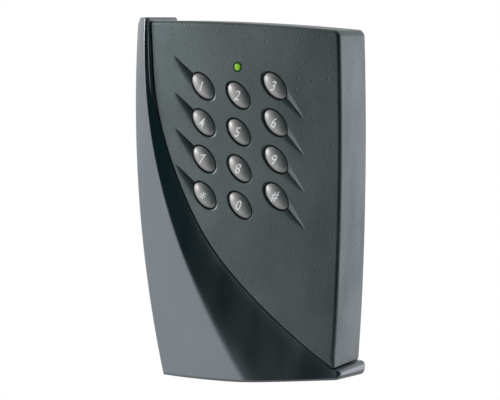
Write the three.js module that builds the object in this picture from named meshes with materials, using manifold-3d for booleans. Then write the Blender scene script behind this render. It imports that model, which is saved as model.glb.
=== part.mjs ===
// Keypad access reader for a wall: a smooth wing cover that sweeps round a
// textured keypad cover, a back plate, twelve keys on a silicone mat, and the
// circuit board with its parts.
//
// Frame: millimetres, +Z up. The wall is the plane y = 0 and the face looks
// along -Y. Heights called h are heights off the wall, so y = -h. x = 0 is the
// middle of the housing's width and z = 0 the middle of its height.
import * as THREE from "three";
import { mergeVertices } from "three/addons/utils/BufferGeometryUtils.js";
import Module from "manifold-3d";

const wasm = await Module();
wasm.setup();
const { lerp, smoothstep } = THREE.MathUtils;

// ---- Housing outline ---
const housingWidth = 97.8;
const housingHeight = 144.8;
const widestZ = 45; // the bowed sides are widest here
const sideRadius = 1230;
const topRadius = 1000; // the top edge falls from left to right as one long arc
const topCrestX = -55;
const bottomRadius = 1000;
const bottomLowestX = -35;
const bottomLean = 2.2; // the bottom wall rises this much from the face back to the wall
const bottomLeanStart = 38; // below this depth under the middle the lean sets in
const rimProud = 1.4; // the wing's top edge stands this far above the keypad cover's
const lipProud = 3.2; // the wing's lip stands this far out of the side, lower right

// ---- Front surface ---
const faceHeight = 21.2; // at the crown of the gently bowed keypad face
const faceCrownX = 4;
const faceRadius = 700;
const wingEdgeBelowFace = 2.9; // left edge of the wing, at its highest
const wingEdgeHighestZ = 20;
const wingEdgeFall = 9.08; // from there down to the lower corner
const wingCrown = 0.14; // how far the wing bellies out between edge and ridge
const ridgeInset = 7.8; // ridge to the side, at the top
const ridgeStraightZ = 62;
const ridgeRadius = 191;
const ridgeAboveFaceTop = 0.4;
const ridgeAboveFaceBottom = 4.4;
const coveHollow = 1.35; // 1 is a flat slope, more is hollower

// The foot of the cove, where the wing meets the keypad face, as shares of the
// half height and half width. It runs from the top left to the lower right.
const footShares = [
  [-1.04, 1.25],
  [-0.886, 0.872],
  [-0.62, 0.335],
  [-0.275, -0.2],
  [0.138, -0.562],
  [0.551, -0.76],
  [0.964, -0.8],
];

// ---- Walls and clearances ---
const wall = 2.6;
const seamGap = 0.3; // between the two covers, and between pieces that touch
const coverOffWall = 0.3; // only the back plate touches the wall
const plateClearance = 0.4; // back plate to the covers' walls
const seat = 0.2; // under a screw head or a part that sits on the board

// ---- Keys ---
const keyColumnPitch = 16.8;
const keyRowPitch = 14.5;
const keyMiddleX = 2.75;
const keyTopRowZ = 45.8;
const middleColumnDrop = 3.7;
const keyHalfLength = 6.4;
const keyHalfWidth = 3.7;
const keyClearance = 0.45;
const keyTurn = Math.PI / 4; // the oval keys lean from upper left to lower right
const keyTravel = 1.2;
const keyFlangeShare = 1.25;
const keyFlangeThickness = 1.1;
const keyDome = 1.5;
const keyDomeShares = [0.45, 0.75, 0.93]; // of the way out, where the dome has a ring
const keyRimFall = 0.3; // the dome ends this far above the key's straight side
const keyStandProud = 0.9;
const leafLength = 18; // key centre to the tip of its leaf-shaped recess
const leafDepth = 2;
const leafLowWidth = 4.4; // valley to the lower left edge, at the key
const leafHighWidthLeft = 0.7; // valley to the upper right edge, left column
const leafHighWidthRight = 3; // and right column
const leafValley = 0.5; // valley off the key's long axis, at the key
const leafTipLeft = -1; // and at the tip, left column
const leafTipRight = 0;
const leafTipWidth = 0.1;

// ---- Status lens ---
const lensRadius = 1.9;
const lensAboveMiddleKey = 11.2;
const lensClearance = 0.25;
const lensProud = 0.3;
const lensFlange = 0.8;
const lensFlangeThickness = 1.2;
const lensFlangeLap = 0.1; // the stem starts this far inside the flange
const lampUnderLens = 0.6;
const lampRadius = 1.5;
const lampCollarRadius = 1.9;
const lampCollar = 1;

// ---- Back plate ---
const plateThickness = 2.4;
const wallSlotWidth = 3.9;
const wallSlotLength = 9;
const wallSlotFromEdge = 15;
const cableHoleRadius = 7.8;
const cableHoleZ = -22;
const grommetBore = 4.6;
const grommetFlange = 1.5;
const hookWidth = 9;
const hookReach = 1.4;
const hookThickness = 1.5;
const hookStem = 1.8; // how thick its post is, up and down
const hookLip = 1; // the tongue's root laps the post by this much
const hookRoom = 2; // the plate's notch is this much wider on each side
const hookNotchDepth = 9;
const ledgeThickness = 1.2;
const ledgeReach = 1.5; // the covers' ledge, half its depth
const ledgeDrop = 0.6; // its middle under the inside of the top wall
const ledgeMargin = 1; // wider than the hook on each side
const grommetLip = 1.4;
const grommetRear = 0.2; // off the wall

// ---- Board and mat ---
const boardRearHeight = 10.5;
const boardThickness = 1.6;
const boardLeftX = -26;
const boardCorner = 2;
const boardHoleRadius = 1.6;
const boardEdgeClearance = 1.5;
const boardBottomMargin = 16;
const screwFromBoardEdge = 4;
const bossRadius = 3;
const wingBossRadius = 2.5;
const matThickness = 1;
const matPadHeight = 1.6;
const matPadInsetLength = 1; // the pad is this much smaller than its key
const matPadInsetWidth = 0.6;
const matMargin = 8.5;
const matCorner = 3;
const matWindowRoom = 1; // window to the lens

// ---- Badge antenna ---
const coilBand = 3;
const coilThickness = 1.1;
const coilCorner = 5;
const coilInnerCorner = 3;
const coilUnderMat = 4;
const coilFromBoardLeft = 18;
const coilFromBoardBottom = 3;

// ---- Parts on the board's rear: x from its middle, z, width, height, depth ---
const controllerChipPlace = [0, 34, 10, 10, 1.4];
const readerChipPlace = [6, -40, 6, 6, 1.1];
const crystalPlace = [12, 36, 4, 10, 3];
const relayPlace = [18, -4, 10, 19, 6.8];
const capacitorX = -20;
const capacitorZ = 4;
const capacitorRadius = 3.2;
const capacitorDepth = 6.8;
const buzzerX = -18;
const buzzerZ = 30;
const buzzerRadius = 6;
const buzzerDepth = 5.5;
const buzzerPortRadius = 0.9;
const buzzerPortDepth = 2.5;
const terminalPitch = 5;
const terminalCount = 6;
const terminalBlockX = -6;
const terminalFromBoardBottom = 6;
const terminalHeight = 8;
const terminalDepth = 7;
const wireMouthDrop = 3; // the wires go in under the block's middle
const wireMouthWidth = 3;
const wireMouthHeight = 5;
const wireMouthFront = 1; // front and rear of the mouth off the board
const wireMouthRear = 3.4;
const clampRise = 1; // the clamp screws are above the block's middle
const clampRadius = 1.5;
const clampDepth = 2;

// ---- Screws: the threads are plain shanks with a gap in their pilot holes ---
const screwRadius = 1.1;
const pilotRadius = 1.4;
const screwHeadRadius = 2.3;
const screwHeadThickness = 1.5;
const screwBite = 4;
const screwSlotWidth = 0.6;
const screwSlotDepth = 0.6;
const screwSlotShare = 1.3; // the cross reaches this share of the shank's radius
const pegRoot = 0.5; // how far a peg or post reaches into what it grows from
const cutPast = 1; // how far a cut reaches past the surface that it opens
const coarseSides = 14;
const fineSides = 32;
const coverScrewHeadRadius = 2.6;
const coverScrewX = 8;
const coverScrewHeight = 8;
const coverScrewSink = 2; // depth of the head's recess in the bottom wall
const coverBossWidth = 8;
const coverBossLength = 7;
const coverBossCrown = 3.4; // from the screw's middle to the boss's front
const coverBossGap = 1.2; // bottom wall to the boss
const coverPilotLength = 5.5;
const coverScrewEnd = 4.5; // how far into the boss the screw goes
const driverRadius = 1.1;
const driverDepth = 0.9;

const flangeWidth = 7; // the keypad cover's tongue under the wing
const flangeThickness = 1.5;
const flangeDrop = 1.5; // under the cover's inside
const flangeRoot = 1.9;
const flangeOffSide = 0.2; // tongue to the wing's side wall
const flangeUnderWing = 0.1; // tongue to the wing's inside, where the wing is low
const wingScrewShares = [0.62, 0.14, -0.22]; // of the half height

// ---- Tamper switch ---
const tamperFromBoardSide = 12;
const tamperBelowTopKeys = 6;
const tamperSize = 6;
const tamperDepth = 3.8;
const tamperPostRadius = 2;
const plungerRadius = 1.2;
const plungerTravel = 0.5;
const plungerProud = 1.8; // how far it stands out of the switch
const plungerInside = 2;

// ---- Worked out from the values above ---
const halfWidth = housingWidth / 2;
const halfHeight = housingHeight / 2;
const boardFrontHeight = boardRearHeight + boardThickness;
const matTopHeight = boardFrontHeight + seat + matThickness;
const padTopHeight = matTopHeight + matPadHeight;
const keyRearHeight = padTopHeight + keyTravel + seamGap;

// ---- Shape of the housing ---
function sideX(z) {
  return halfWidth - (z - widestZ) ** 2 / (2 * sideRadius);
}

function topZ(x) {
  return halfHeight - (x - topCrestX) ** 2 / (2 * topRadius);
}

function bottomZ(x) {
  return -halfHeight + (x - bottomLowestX) ** 2 / (2 * bottomRadius);
}

const footLine = new THREE.CubicInterpolant(
  footShares.map(([z]) => z * halfHeight),
  footShares.map(([, x]) => x * halfWidth),
  1,
);

function footX(z) {
  return footLine.evaluate(z)[0];
}

function ridgeX(z) {
  return ridgeInset - halfWidth + (z - ridgeStraightZ) ** 2 / (2 * ridgeRadius);
}

function ridgeHeight(z) {
  const share = (z + halfHeight) / housingHeight;
  return faceHeight + lerp(ridgeAboveFaceBottom, ridgeAboveFaceTop, share);
}

function faceHeightAt(x) {
  return faceHeight - (x - faceCrownX) ** 2 / (2 * faceRadius);
}

function wingEdge(z) {
  const highest = faceHeight - wingEdgeBelowFace;
  const share = (z - wingEdgeHighestZ) / (halfHeight + wingEdgeHighestZ);
  return highest - wingEdgeFall * share ** 2;
}

// Height of the front surface: wing, cove, then the keypad face.
function frontHeight(x, z) {
  const ridge = ridgeX(z);
  const foot = footX(z);
  if (x <= ridge) {
    const share = (x + sideX(z)) / (ridge + sideX(z));
    const bellied = share + wingCrown * share * (1 - share);
    return lerp(wingEdge(z), ridgeHeight(z), bellied);
  }
  const face = faceHeightAt(Math.min(x, sideX(z)));
  if (x >= foot) return face;
  const share = (x - ridge) / (foot - ridge);
  return face + (ridgeHeight(z) - face) * (1 - share) ** coveHollow;
}

// How far a point of height h is pushed up by the lean of the bottom wall.
function lean(x, z, h) {
  const share = smoothstep(-z, bottomLeanStart, halfHeight);
  return bottomLean * share * (1 - h / frontHeight(x, z));
}

// The lowest height of the front surface over a round spot.
function lowestFront(x, z, radius) {
  const around = [0, 1, 2, 3, 4, 5, 6, 7].map((i) => (i * Math.PI) / 4);
  const heights = around.map((a) =>
    frontHeight(x + radius * Math.cos(a), z + radius * Math.sin(a)),
  );
  return Math.min(...heights);
}

// ---- Solids ---
function solid(geometry) {
  const bare = new THREE.BufferGeometry();
  bare.setAttribute("position", geometry.getAttribute("position"));
  bare.setIndex(geometry.getIndex());
  const merged = mergeVertices(bare, 1e-4);
  return new wasm.Manifold(
    new wasm.Mesh({
      numProp: 3,
      vertProperties: merged.getAttribute("position").array,
      triVerts: new Uint32Array(merged.getIndex().array),
    }),
  );
}

// A box whose points are placed by a function of their shares (0 to 1) across
// x, y and z.
function shapedBox(acrossX, acrossY, acrossZ, place) {
  const geometry = new THREE.BoxGeometry(1, 1, 1, acrossX, acrossY, acrossZ);
  const points = geometry.getAttribute("position");
  for (let i = 0; i < points.count; i++) {
    const [x, y, z] = place(
      points.getX(i) + 0.5,
      points.getY(i) + 0.5,
      points.getZ(i) + 0.5,
    );
    points.setXYZ(i, x, y, z);
  }
  return solid(geometry);
}

function block(x0, x1, z0, z1, h0, h1) {
  const geometry = new THREE.BoxGeometry(x1 - x0, h1 - h0, z1 - z0);
  geometry.translate((x0 + x1) / 2, -(h0 + h1) / 2, (z0 + z1) / 2);
  return solid(geometry);
}

function blockAt(x, z, width, height, h0, h1) {
  return block(x - width / 2, x + width / 2, z - height / 2, z + height / 2, h0, h1);
}

// A round peg that stands off the wall.
function peg(x, z, radius, h0, h1, sides = 20) {
  const geometry = new THREE.CylinderGeometry(radius, radius, h1 - h0, sides);
  geometry.translate(x, -(h0 + h1) / 2, z);
  return solid(geometry);
}

// A round peg that runs upwards.
function uprightPeg(x, h, radius, z0, z1, sides = 20) {
  const geometry = new THREE.CylinderGeometry(radius, radius, z1 - z0, sides);
  geometry.rotateX(Math.PI / 2);
  geometry.translate(x, -h, (z0 + z1) / 2);
  return solid(geometry);
}

// A flat shape drawn in x and z, from height h0 to h1.
function slab(shape, h0, h1, curveSegments = 12) {
  const geometry = new THREE.ExtrudeGeometry(shape, {
    depth: h1 - h0,
    bevelEnabled: false,
    curveSegments,
  });
  geometry.rotateX(Math.PI / 2);
  geometry.translate(0, -h0, 0);
  return solid(geometry);
}

function ovalShape(x, z, halfLength, halfBreadth) {
  const shape = new THREE.Shape();
  shape.absellipse(x, z, halfLength, halfBreadth, 0, 2 * Math.PI, false, -keyTurn);
  return shape;
}

function roundedRectangle(x0, x1, z0, z1, radius) {
  const shape = new THREE.Shape();
  shape.moveTo(x0 + radius, z0);
  shape.lineTo(x1 - radius, z0);
  shape.absarc(x1 - radius, z0 + radius, radius, -Math.PI / 2, 0);
  shape.lineTo(x1, z1 - radius);
  shape.absarc(x1 - radius, z1 - radius, radius, 0, Math.PI / 2);
  shape.lineTo(x0 + radius, z1);
  shape.absarc(x0 + radius, z1 - radius, radius, Math.PI / 2, Math.PI);
  shape.lineTo(x0, z0 + radius);
  shape.absarc(x0 + radius, z0 + radius, radius, Math.PI, 1.5 * Math.PI);
  return shape;
}

function union(solids) {
  return solids.reduce((sum, next) => sum.add(next));
}

// A pan-head screw standing off the wall, head first.
function screw(x, z, headRearHeight, length) {
  const headFront = headRearHeight + screwHeadThickness;
  const slotLength = 2 * screwSlotShare * screwRadius;
  const slotRear = headRearHeight - cutPast;
  const slotFront = headRearHeight + screwSlotDepth;
  const slot = blockAt(x, z, slotLength, screwSlotWidth, slotRear, slotFront);
  const cross = blockAt(x, z, screwSlotWidth, slotLength, slotRear, slotFront);
  return peg(x, z, screwHeadRadius, headRearHeight, headFront)
    .add(peg(x, z, screwRadius, headFront - pegRoot, headFront + length, coarseSides))
    .subtract(slot)
    .subtract(cross);
}

// ---- Assembly ---
const reader = new THREE.Group();

function plastic(color, roughness, metalness = 0) {
  return new THREE.MeshStandardMaterial({ color, roughness, metalness });
}

function addPiece(name, made, material) {
  const data = made.getMesh();
  const geometry = new THREE.BufferGeometry();
  geometry.setAttribute("position", new THREE.BufferAttribute(data.vertProperties, 3));
  geometry.setIndex(new THREE.BufferAttribute(data.triVerts, 1));
  geometry.computeVertexNormals();
  const mesh = new THREE.Mesh(geometry, material);
  mesh.name = name;
  reader.add(mesh);
}

const wingGloss = plastic(0x4a5054, 0.35, 0.2);
const faceTexture = plastic(0x3f484b, 0.6, 0.1);
const plateBlack = plastic(0x1c1e20, 0.6);
const keySatin = plastic(0x8f9398, 0.35, 0.6);
const silicone = plastic(0xc9ccc8, 0.7);
const boardGreen = plastic(0x1f5a38, 0.5);
const chipBlack = plastic(0x16171a, 0.5);
const steel = plastic(0xb4b7ba, 0.35, 0.9);
const copper = plastic(0xa8602c, 0.4, 0.8);
const lensGreen = plastic(0x8fd03a, 0.2);
const terminalGreen = plastic(0x2f8f4e, 0.5);
const relayBlue = plastic(0x2a5fae, 0.5);
const rubberBlack = plastic(0x111213, 0.85);
const buttonWhite = plastic(0xe2e3df, 0.5);

// ---- Inside of both covers: one hollow that follows the front surface ---
function innerStops(z, inset) {
  const side = sideX(z) - inset;
  const foot = Math.min(footX(z), side - 1);
  return [-side, ridgeX(z), foot, side];
}

function acrossStops(stops, share) {
  const scaled = share * (stops.length - 1);
  const span = Math.min(Math.floor(scaled), stops.length - 2);
  return lerp(stops[span], stops[span + 1], scaled - span);
}

// A slab that fits the housing's outline with its edges drawn in by inset.
function outlineSlab(inset, acrossX, acrossZ, frontOf, rearHeight) {
  return shapedBox(acrossX, 1, acrossZ, (u, v, w) => {
    const roughZ = lerp(-halfHeight, halfHeight, w);
    const roughX = acrossStops(innerStops(roughZ, inset), u);
    const z = lerp(bottomZ(roughX) + inset, topZ(roughX) - inset, w);
    const x = acrossStops(innerStops(z, inset), u);
    const h = lerp(frontOf(x, z), rearHeight, v);
    return [x, -h, z + lean(x, z, h)];
  });
}

const hollow = outlineSlab(wall, 15, 18, (x, z) => frontHeight(x, z) - wall, -1);

// ---- Key and screw places ---
const keyNames = ["1", "2", "3", "4", "5", "6", "7", "8", "9", "star", "0", "hash"];
const keys = keyNames.map((name, i) => {
  const column = i % 3;
  const row = Math.floor(i / 3);
  const drop = column === 1 ? middleColumnDrop : 0;
  return {
    name: "key_" + name,
    side: column - 1,
    x: keyMiddleX + (column - 1) * keyColumnPitch,
    z: keyTopRowZ - row * keyRowPitch - drop,
  };
});
const lensZ = keyTopRowZ - middleColumnDrop + lensAboveMiddleKey;

const boardBottomZ = -halfHeight + boardBottomMargin;
const boardRightX = sideX(boardBottomZ) - wall - boardEdgeClearance;
const boardTopZ = topZ(boardRightX) - wall - boardEdgeClearance;
const boardScrews = [
  [boardLeftX + screwFromBoardEdge, boardTopZ - screwFromBoardEdge],
  [boardRightX - screwFromBoardEdge, boardTopZ - screwFromBoardEdge],
  [boardRightX - screwFromBoardEdge, boardBottomZ + screwFromBoardEdge],
  [footX(-18) + 2 * bossRadius, keyTopRowZ - 4 * keyRowPitch - 6],
];

const wingScrews = wingScrewShares.map((share) => {
  const z = share * halfHeight;
  const x = footX(z) - flangeWidth / 2;
  return { x, z, flangeTop: faceHeightAt(footX(z)) - wall - flangeDrop };
});

// ---- Keypad cover ---
// The foot line leaves the housing at the lower right, where the cover ends.
function footLeavesSideZ() {
  let low = -halfHeight;
  let high = 0;
  for (let i = 0; i < 40; i++) {
    const middle = (low + high) / 2;
    if (footX(middle) + seamGap > sideX(middle) - 0.5) low = middle;
    else high = middle;
  }
  return high;
}

const coverEndZ = footLeavesSideZ();

function coverSkin() {
  return shapedBox(12, 1, 22, (u, v, w) => {
    const roughZ = lerp(coverEndZ, halfHeight, w);
    const roughX = lerp(footX(roughZ) + seamGap, sideX(roughZ), u);
    const z = lerp(coverEndZ, topZ(roughX), w);
    const x = lerp(footX(z) + seamGap, sideX(z), u);
    const h = lerp(faceHeightAt(x), coverOffWall, v);
    return [x, -h, z + lean(x, z, h)];
  });
}

// A strip along the foot line, from "from" to "to" across it.
function footStrip(from, to, rearBelow, frontBelow) {
  return shapedBox(1, 1, 36, (u, v, w) => {
    const z = lerp(coverEndZ + 5, halfHeight - wall - 6, w);
    const front = faceHeightAt(footX(z)) - wall;
    const left = Math.max(footX(z) + from, wall + flangeOffSide - sideX(z));
    const x = lerp(left, footX(z) + to, u);
    const roof = from < 0 ? frontHeight(left, z) - wall - flangeUnderWing : faceHeight;
    const h = lerp(Math.min(front - frontBelow, roof), front - rearBelow, v);
    return [x, -h, z];
  });
}

// The recess beside an outer key: a leaf whose valley runs from the key to its
// tip, away from the middle column. Its far side is steep in the left column.
function leafRecess(key) {
  const isLeft = key.side < 0;
  const highWidth = isLeft ? leafHighWidthLeft : leafHighWidthRight;
  return shapedBox(2, 1, 3, (u, v, w) => {
    const valley = lerp(leafValley, isLeft ? leafTipLeft : leafTipRight, w);
    const side = (2 * u - 1) * (isLeft ? 1 : -1); // keeps the box's faces outward
    const width = side < 0 ? leafLowWidth : highWidth;
    const off = side * (width * (1 - w) + leafTipWidth);
    const across = (valley + off) * Math.SQRT1_2;
    const along = w * leafLength * key.side * Math.SQRT1_2;
    const x = key.x + across + along;
    const z = key.z + across - along;
    const depth = leafDepth * (1 - w) * (1 - Math.abs(side));
    return [x, -lerp(faceHeight + cutPast, faceHeightAt(x) - 0.02 - depth, v), z];
  });
}

let keypadCover = coverSkin().subtract(hollow);
keypadCover = union([
  keypadCover,
  footStrip(-flangeWidth, flangeRoot, flangeDrop + flangeThickness, flangeDrop),
  footStrip(3 * seamGap, flangeRoot, flangeDrop + flangeThickness, -0.6),
  ...boardScrews.map(([x, z]) =>
    peg(x, z, bossRadius, boardFrontHeight + seat, faceHeightAt(x) - wall / 2),
  ),
]);
const hookLedgeHeight = plateThickness + seamGap;
const hookXs = [-halfWidth / 4, halfWidth / 2];
for (const x of hookXs) {
  const z = topZ(x) - wall;
  const ledge = blockAt(
    x,
    z - ledgeDrop,
    hookWidth + 2 * ledgeMargin,
    2 * ledgeReach,
    hookLedgeHeight,
    hookLedgeHeight + ledgeThickness,
  );
  keypadCover = keypadCover.add(ledge);
}
for (const key of keys) {
  const halfLength = keyHalfLength + keyClearance;
  const hole = ovalShape(key.x, key.z, halfLength, keyHalfWidth + keyClearance);
  keypadCover = keypadCover.subtract(slab(hole, boardFrontHeight, faceHeight + cutPast));
  if (key.side) keypadCover = keypadCover.subtract(leafRecess(key));
}
for (const [x, z] of boardScrews) {
  const pilotEnd = boardFrontHeight + screwBite + cutPast;
  const pilot = peg(x, z, pilotRadius, 0, pilotEnd, coarseSides);
  keypadCover = keypadCover.subtract(pilot);
}
for (const { x, z, flangeTop } of wingScrews) {
  const rear = flangeTop - flangeThickness - cutPast;
  const hole = peg(x, z, pilotRadius, rear, flangeTop + cutPast, coarseSides);
  keypadCover = keypadCover.subtract(hole);
}
const lensHole = peg(
  keyMiddleX,
  lensZ,
  lensRadius + lensClearance,
  boardFrontHeight,
  faceHeight + cutPast,
);
keypadCover = keypadCover.subtract(lensHole);
addPiece("keypad_cover", keypadCover, faceTexture);

// ---- Wing cover: wing, ridge, cove, bottom wall and the lip round the lower right ---
function wingRightX(z) {
  return Math.min(footX(z) - seamGap / 4, sideX(z) + lipProud);
}

function wingSkin() {
  return shapedBox(14, 1, 26, (u, v, w) => {
    const roughZ = lerp(-halfHeight, halfHeight, w);
    const roughStops = [-sideX(roughZ), ridgeX(roughZ), wingRightX(roughZ)];
    const roughX = acrossStops(roughStops, u);
    const z = lerp(bottomZ(roughX), topZ(roughX) + rimProud, w);
    const x = acrossStops([-sideX(z), ridgeX(z), wingRightX(z)], u);
    const h = lerp(frontHeight(x, z), coverOffWall, v);
    return [x, -h, z + lean(x, z, h)];
  });
}

let wingCover = wingSkin().subtract(hollow);
for (const { x, z, flangeTop } of wingScrews) {
  const bossRear = flangeTop + seamGap;
  const skin = lowestFront(x, z, wingBossRadius) - wall / 2;
  wingCover = wingCover.add(peg(x, z, wingBossRadius, bossRear, skin));
  const pilotEnd = lowestFront(x, z, pilotRadius) - wall / 3;
  const pilot = peg(x, z, pilotRadius, bossRear - cutPast, pilotEnd, coarseSides);
  wingCover = wingCover.subtract(pilot);
}
const coverScrewSeatZ =
  bottomZ(coverScrewX) +
  lean(coverScrewX, bottomZ(coverScrewX), coverScrewHeight) +
  coverScrewSink;
wingCover = wingCover
  .subtract(
    uprightPeg(
      coverScrewX,
      coverScrewHeight,
      pilotRadius + seat,
      -halfHeight - coverPilotLength,
      coverScrewSeatZ + coverPilotLength,
    ),
  )
  .subtract(
    uprightPeg(
      coverScrewX,
      coverScrewHeight,
      coverScrewHeadRadius + seamGap,
      -halfHeight - coverPilotLength,
      coverScrewSeatZ,
    ),
  );
addPiece("wing_cover", wingCover, wingGloss);

wingScrews.forEach(({ x, z, flangeTop }, i) => {
  const headRear = flangeTop - flangeThickness - seat - screwHeadThickness;
  const pilotEnd = lowestFront(x, z, pilotRadius) - wall / 3;
  const length = pilotEnd - seamGap - headRear - screwHeadThickness;
  addPiece("wing_screw_" + (i + 1), screw(x, z, headRear, length), steel);
});

// ---- Back plate ---
const plateInset = wall + plateClearance;
const hookPostTop = hookLedgeHeight + ledgeThickness + seamGap + hookThickness;
let backPlate = outlineSlab(plateInset, 9, 12, () => plateThickness, 0);
for (const x of hookXs) {
  const edge = topZ(x) - wall - ledgeDrop - ledgeReach - seamGap;
  const post = block(
    x - hookWidth / 2,
    x + hookWidth / 2,
    edge - hookStem,
    edge,
    plateThickness - pegRoot,
    hookPostTop,
  );
  const tongue = block(
    x - hookWidth / 2,
    x + hookWidth / 2,
    edge - hookLip,
    edge + hookReach,
    hookPostTop - hookThickness,
    hookPostTop,
  );
  // The plate's edge is notched so that the cover's ledge can pass it.
  const notch = block(
    x - hookWidth / 2 - hookRoom,
    x + hookWidth / 2 + hookRoom,
    edge + 0.01,
    edge + hookNotchDepth,
    -cutPast,
    hookLedgeHeight + seat,
  );
  backPlate = backPlate.subtract(notch).add(post).add(tongue);
}
const wallSlotZs = [
  topZ(0) - wallSlotFromEdge,
  bottomZ(0) + wallSlotFromEdge,
];
for (const z of wallSlotZs) {
  const length = wallSlotLength / 2;
  const half = wallSlotWidth / 2;
  const slot = roundedRectangle(-half, half, z - length, z + length, half - 0.01);
  backPlate = backPlate.subtract(slab(slot, -cutPast, plateThickness + cutPast, 6));
}
backPlate = backPlate.subtract(
  peg(0, cableHoleZ, cableHoleRadius, -cutPast, plateThickness + cutPast, fineSides),
);

const coverBossZ = coverScrewSeatZ + wall - coverScrewSink + coverBossGap;
const coverBoss = block(
  coverScrewX - coverBossWidth / 2,
  coverScrewX + coverBossWidth / 2,
  coverBossZ,
  coverBossZ + coverBossLength,
  plateThickness - pegRoot,
  coverScrewHeight + coverBossCrown,
);
const coverPilot = uprightPeg(
  coverScrewX,
  coverScrewHeight,
  pilotRadius,
  coverBossZ - cutPast,
  coverBossZ + coverPilotLength,
);
backPlate = backPlate.add(coverBoss).subtract(coverPilot);

const tamperX = boardRightX - tamperFromBoardSide;
const tamperZ = keyTopRowZ - tamperBelowTopKeys;
const tamperBodyRear = boardRearHeight - seat - tamperDepth;
const plungerTipHeight = tamperBodyRear - plungerProud;
const tamperPost = peg(
  tamperX,
  tamperZ,
  tamperPostRadius,
  plateThickness - pegRoot,
  plungerTipHeight - seamGap,
);
backPlate = backPlate.add(tamperPost);
addPiece("back_plate", backPlate, plateBlack);

const grommetRadius = cableHoleRadius - seamGap;
const grommetFront = plateThickness + seamGap + grommetLip;
const grommet = new THREE.LatheGeometry(
  [
    new THREE.Vector2(grommetBore, -grommetFront),
    new THREE.Vector2(cableHoleRadius + grommetFlange, -grommetFront),
    new THREE.Vector2(cableHoleRadius + grommetFlange, -plateThickness - seamGap),
    new THREE.Vector2(grommetRadius, -plateThickness - seamGap),
    new THREE.Vector2(grommetRadius, -grommetRear),
    new THREE.Vector2(grommetBore, -grommetRear),
    new THREE.Vector2(grommetBore, -grommetFront),
  ],
  fineSides,
);
grommet.translate(0, 0, cableHoleZ);
addPiece("cable_grommet", solid(grommet), rubberBlack);

// The screw that locks the covers to the back plate, driven up from below.
const coverScrewHeadZ = coverScrewSeatZ - seat - screwHeadThickness;
const coverScrew = uprightPeg(
  coverScrewX,
  coverScrewHeight,
  coverScrewHeadRadius,
  coverScrewHeadZ,
  coverScrewHeadZ + screwHeadThickness,
)
  .add(
    uprightPeg(
      coverScrewX,
      coverScrewHeight,
      screwRadius,
      coverScrewHeadZ + screwHeadThickness - pegRoot,
      coverBossZ + coverScrewEnd,
      coarseSides,
    ),
  )
  .subtract(
    uprightPeg(
      coverScrewX,
      coverScrewHeight,
      driverRadius,
      coverScrewHeadZ - cutPast,
      coverScrewHeadZ + driverDepth,
      6,
    ),
  );
addPiece("cover_screw", coverScrew, steel);

// ---- Circuit board ---
const boardShape = roundedRectangle(
  boardLeftX,
  boardRightX,
  boardBottomZ,
  boardTopZ,
  boardCorner,
);
let board = slab(boardShape, boardRearHeight, boardFrontHeight, 4);
for (const [x, z] of boardScrews) {
  const hole = peg(
    x,
    z,
    boardHoleRadius,
    boardRearHeight - cutPast,
    boardFrontHeight + cutPast,
    coarseSides,
  );
  board = board.subtract(hole);
}
addPiece("circuit_board", board, boardGreen);
boardScrews.forEach(([x, z], i) => {
  const headRear = boardRearHeight - seat - screwHeadThickness;
  const length = seat + boardThickness + screwBite;
  addPiece("board_screw_" + (i + 1), screw(x, z, headRear, length), steel);
});

// ---- Silicone key mat: a sheet with a pad under each key and a window for the light ---
const matShape = roundedRectangle(
  keyMiddleX - keyColumnPitch - matMargin,
  keyMiddleX + keyColumnPitch + matMargin,
  keyTopRowZ - 3 * keyRowPitch - middleColumnDrop - matMargin,
  keyTopRowZ + matMargin,
  matCorner,
);
let mat = slab(matShape, boardFrontHeight + seat, matTopHeight, 4);
for (const key of keys) {
  const pad = ovalShape(
    key.x,
    key.z,
    keyHalfLength - matPadInsetLength,
    keyHalfWidth - matPadInsetWidth,
  );
  mat = mat.add(slab(pad, matTopHeight - pegRoot, padTopHeight, 8));
}
mat = mat.subtract(
  peg(keyMiddleX, lensZ, lensRadius + matWindowRoom, boardFrontHeight, padTopHeight),
);
addPiece("keypad_mat", mat, silicone);

// ---- Keys: domed ovals with a flange behind the cover ---
function keyCap(key) {
  const face = faceHeightAt(key.x);
  const crown = face + keyStandProud;
  const flangeFront = keyRearHeight + keyFlangeThickness;
  const rim = crown - keyDome;
  const outline = [new THREE.Vector2(0, -crown)];
  for (const share of keyDomeShares) {
    outline.push(new THREE.Vector2(share, -(crown - keyDome * share ** 3)));
  }
  outline.push(
    new THREE.Vector2(1, -(rim - keyRimFall)),
    new THREE.Vector2(1, -flangeFront),
    new THREE.Vector2(keyFlangeShare, -flangeFront),
    new THREE.Vector2(keyFlangeShare, -keyRearHeight),
    new THREE.Vector2(0, -keyRearHeight),
  );
  const geometry = new THREE.LatheGeometry(outline, 20);
  geometry.scale(keyHalfLength, 1, keyHalfWidth);
  geometry.rotateY(keyTurn);
  geometry.translate(key.x, 0, key.z);
  return solid(geometry);
}

for (const key of keys) addPiece(key.name, keyCap(key), keySatin);

// ---- Status light ---
const coverInside = faceHeightAt(keyMiddleX) - wall;
const lensFront = faceHeightAt(keyMiddleX) + lensProud;
const lensFlangeFront = coverInside - seamGap;
const lensFlangeRear = lensFlangeFront - lensFlangeThickness;
const lens = peg(
  keyMiddleX,
  lensZ,
  lensRadius,
  lensFlangeRear + lensFlangeLap,
  lensFront,
).add(peg(keyMiddleX, lensZ, lensRadius + lensFlange, lensFlangeRear, lensFlangeFront));
addPiece("led_lens", lens, lensGreen);
const lampRear = boardFrontHeight + seat;
const lamp = peg(
  keyMiddleX,
  lensZ,
  lampRadius,
  lampRear,
  lensFlangeRear - lampUnderLens,
).add(peg(keyMiddleX, lensZ, lampCollarRadius, lampRear, lampRear + lampCollar));
addPiece("status_led", lamp, lensGreen);

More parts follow.
